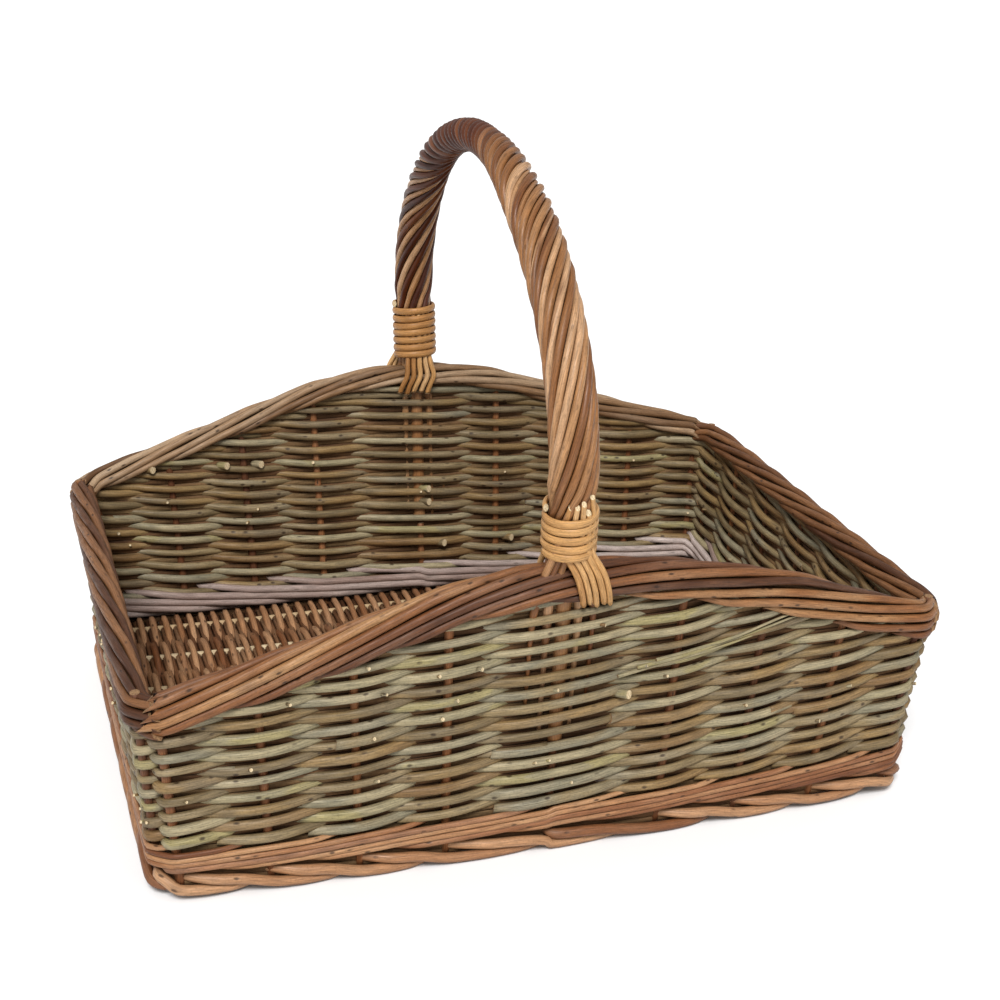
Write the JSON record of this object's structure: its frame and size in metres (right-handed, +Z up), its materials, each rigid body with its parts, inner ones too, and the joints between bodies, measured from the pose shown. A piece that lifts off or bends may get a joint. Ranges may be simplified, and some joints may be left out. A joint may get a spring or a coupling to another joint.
{
  "type": "garden trug basket",
  "caption": "Rectangular woven willow garden basket with flared walls, rims that arch up in the middle of the long sides, a foot border and one fixed roped hoop handle.",
  "frame": {"origin": "middle of the underside, where the foot border stands on the ground", "axes": "+X along the basket's length, -Y towards the front long side, +Z up; the handle spans from front to back over the origin"},
  "size_m": [0.502, 0.4081, 0.405],
  "materials": {
    "stake_willow": "dry bark on willow, satin",
    "weave_willow": "grey-green bark on willow, satin",
    "wale_willow": "brown bark on willow, satin",
    "border_willow": "brown bark on willow, satin",
    "foot_willow": "dark brown bark on willow, satin",
    "base_stick_willow": "pale stripped willow, matt",
    "base_weave_willow": "brown bark on willow, satin",
    "handle_willow": "red-brown bark on willow, satin",
    "lashing_willow": "split willow, matt"
  },
  "bodies": {
    "root": {"base_sticks": "base_stick_willow", "base_weave": "base_weave_willow", "border_back": "border_willow", "border_front": "border_willow", "border_left": "border_willow", "border_right": "border_willow", "corner_stakes": "stake_willow", "foot_back": "foot_willow", "foot_front": "foot_willow", "foot_left": "foot_willow", "foot_right": "foot_willow", "handle_bow": "handle_willow", "handle_roping": "handle_willow", "lashing_back": "lashing_willow", "lashing_front": "lashing_willow", "leg_fillers_back": "handle_willow", "leg_fillers_front": "handle_willow", "leg_rods_back": "handle_willow", "leg_rods_front": "handle_willow", "splay_inside_back": "lashing_willow", "splay_inside_front": "lashing_willow", "splay_outside_back": "lashing_willow", "splay_outside_front": "lashing_willow", "stakes_back": "stake_willow", "stakes_front": "stake_willow", "stakes_left": "stake_willow", "stakes_right": "stake_willow", "wale_back": "wale_willow", "wale_front": "wale_willow", "wale_left": "wale_willow", "wale_right": "wale_willow", "weave_back": "weave_willow", "weave_front": "weave_willow", "weave_left": "weave_willow", "weave_right": "weave_willow"}
  },
  "joints": []
}
